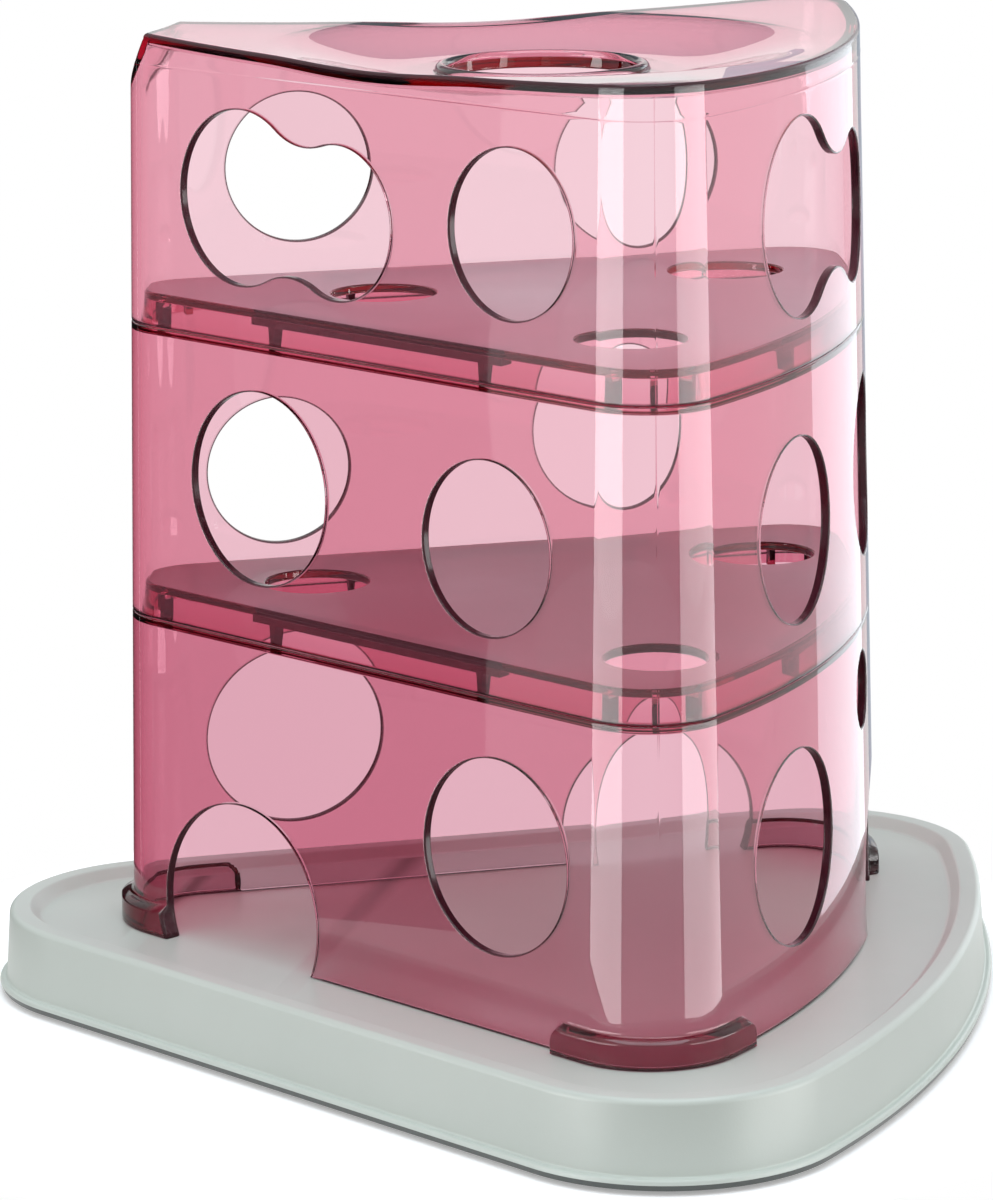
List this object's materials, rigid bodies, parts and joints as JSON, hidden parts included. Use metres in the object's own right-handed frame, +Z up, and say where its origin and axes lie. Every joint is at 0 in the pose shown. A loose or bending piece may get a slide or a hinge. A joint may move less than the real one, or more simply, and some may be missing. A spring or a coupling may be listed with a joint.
{
  "type": "cat activity tower",
  "caption": "Stacking treat tower for cats: clear tinted triangular tiers with round paw holes slip over one another on a low opaque tray, with a filling hole in the dished top.",
  "frame": {"origin": "centre of the tray's plan, on the table under the feet", "axes": "+Z up, +X from the pointed corner to the bowed side, +Y along the bowed side"},
  "size_m": [0.2734, 0.2842, 0.2674],
  "materials": {
    "tray_plastic": "opaque, satin",
    "clear_plastic": "clear, tinted, polished",
    "foot_rubber": "matt"
  },
  "bodies": {
    "tray": {"base_tray": "tray_plastic", "foot_1": "foot_rubber", "foot_2": "foot_rubber", "foot_3": "foot_rubber", "foot_4": "foot_rubber", "foot_5": "foot_rubber", "foot_6": "foot_rubber"},
    "lower": {"lower_tier": "clear_plastic"},
    "middle": {"middle_tier": "clear_plastic"},
    "top": {"top_tier": "clear_plastic"}
  },
  "joints": [
    {"name": "lower_lift", "type": "slide", "parent": "tray", "child": "lower", "axis": [0, 0, 1], "range_m": [0, 0.04]},
    {"name": "middle_lift", "type": "slide", "parent": "lower", "child": "middle", "axis": [0, 0, 1], "range_m": [0, 0.06]},
    {"name": "top_lift", "type": "slide", "parent": "middle", "child": "top", "axis": [0, 0, 1], "range_m": [0, 0.06]}
  ]
}
